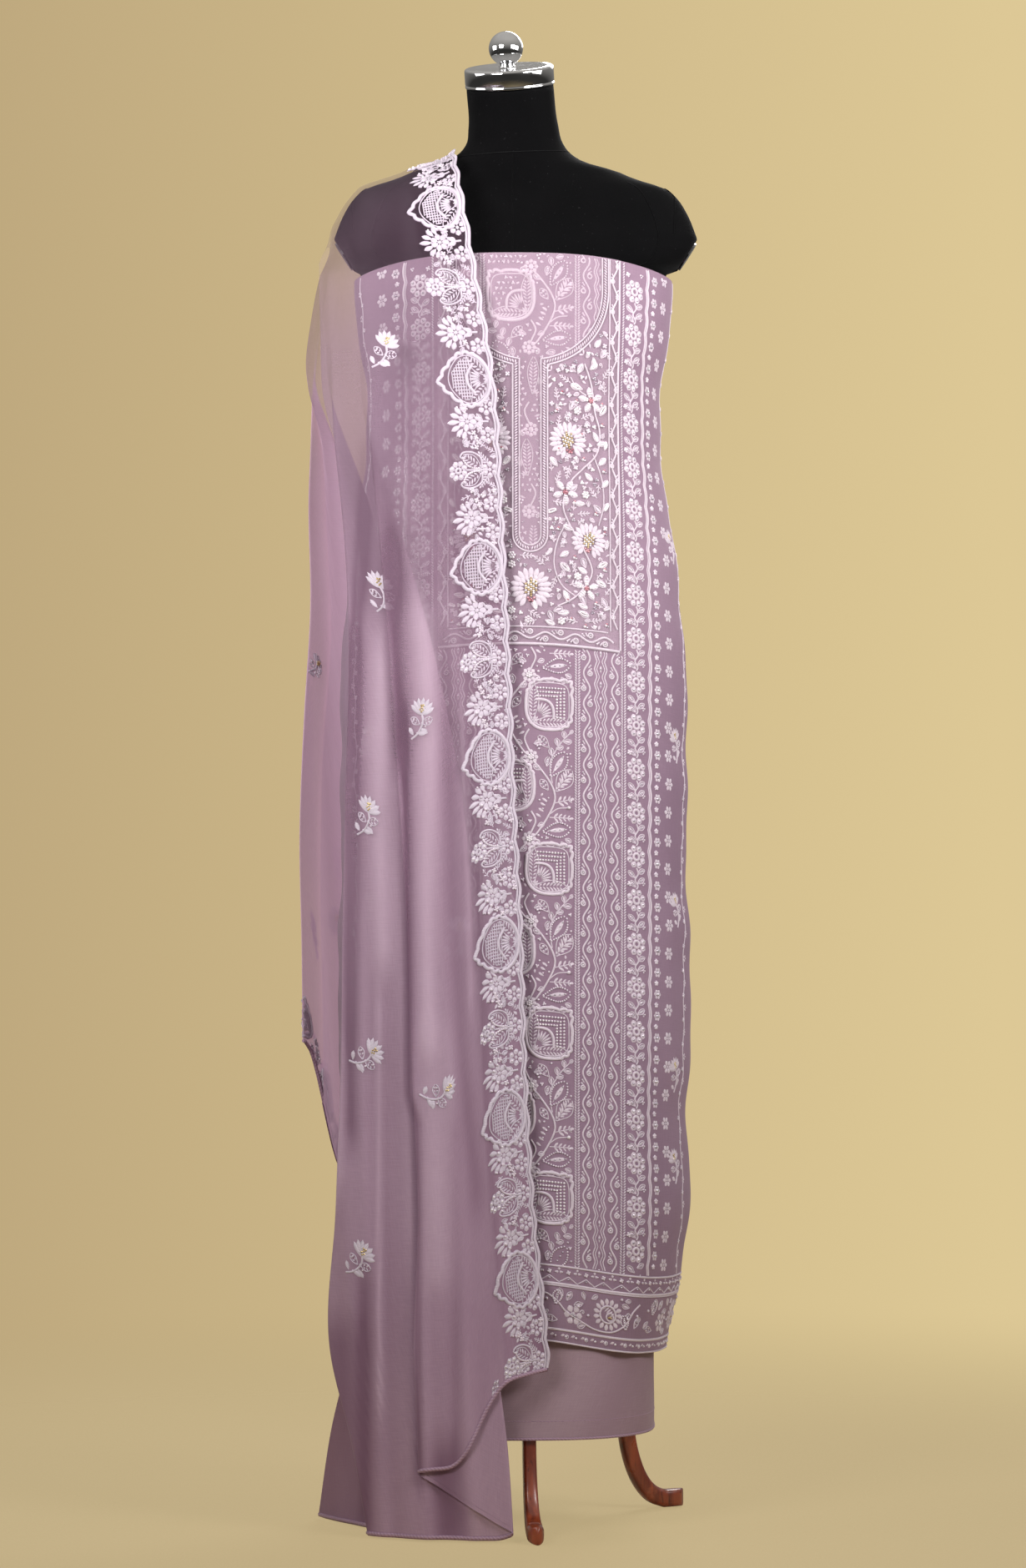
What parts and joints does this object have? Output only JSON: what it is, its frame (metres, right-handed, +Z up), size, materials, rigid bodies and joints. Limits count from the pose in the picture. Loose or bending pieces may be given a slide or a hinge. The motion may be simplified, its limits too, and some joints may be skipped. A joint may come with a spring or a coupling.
{
  "type": "salwar kameez suit on dress form",
  "caption": "Unstitched salwar kameez suit with a sheer bordered dupatta over one shoulder, draped on a limbless dress form with a wooden tripod stand.",
  "frame": {"origin": "the middle of the whole object's box, on the floor", "axes": "+Z up, the suit's front faces -Y, and the dupatta hangs over the shoulder at -X"},
  "size_m": [0.4436, 0.3994, 1.6492],
  "materials": {
    "kameez_georgette": "matte lilac georgette with tone-on-tone embroidery",
    "yoke_georgette": "pale lilac sheer georgette with beadwork",
    "salwar_cloth": "plain dull mauve cloth",
    "sheer_chiffon": "sheer lilac chiffon with a corded, embroidered border",
    "embroidery_thread": "pale lilac satin-stitch thread",
    "beads": "pearl, silver and pale gold beads and sequins",
    "black_jersey": "black stretch jersey cover",
    "polished_steel": "mirror-polished neck cap",
    "stand_wood": "red-brown varnished wood"
  },
  "bodies": {
    "root": {"kameez_front": "kameez_georgette", "kameez_back": "kameez_georgette", "kameez_yoke": "yoke_georgette", "salwar_cloth": "salwar_cloth", "dupatta_front": "sheer_chiffon", "dupatta_shoulder": "sheer_chiffon", "dupatta_back": "sheer_chiffon", "form_torso": "black_jersey", "arm_plate_left": "black_jersey", "arm_plate_right": "black_jersey", "form_neck_cap": "polished_steel", "form_neck_ball": "polished_steel", "form_pole": "stand_wood", "stand_leg_front": "stand_wood", "stand_leg_right": "stand_wood", "stand_leg_left": "stand_wood"}
  },
  "joints": []
}
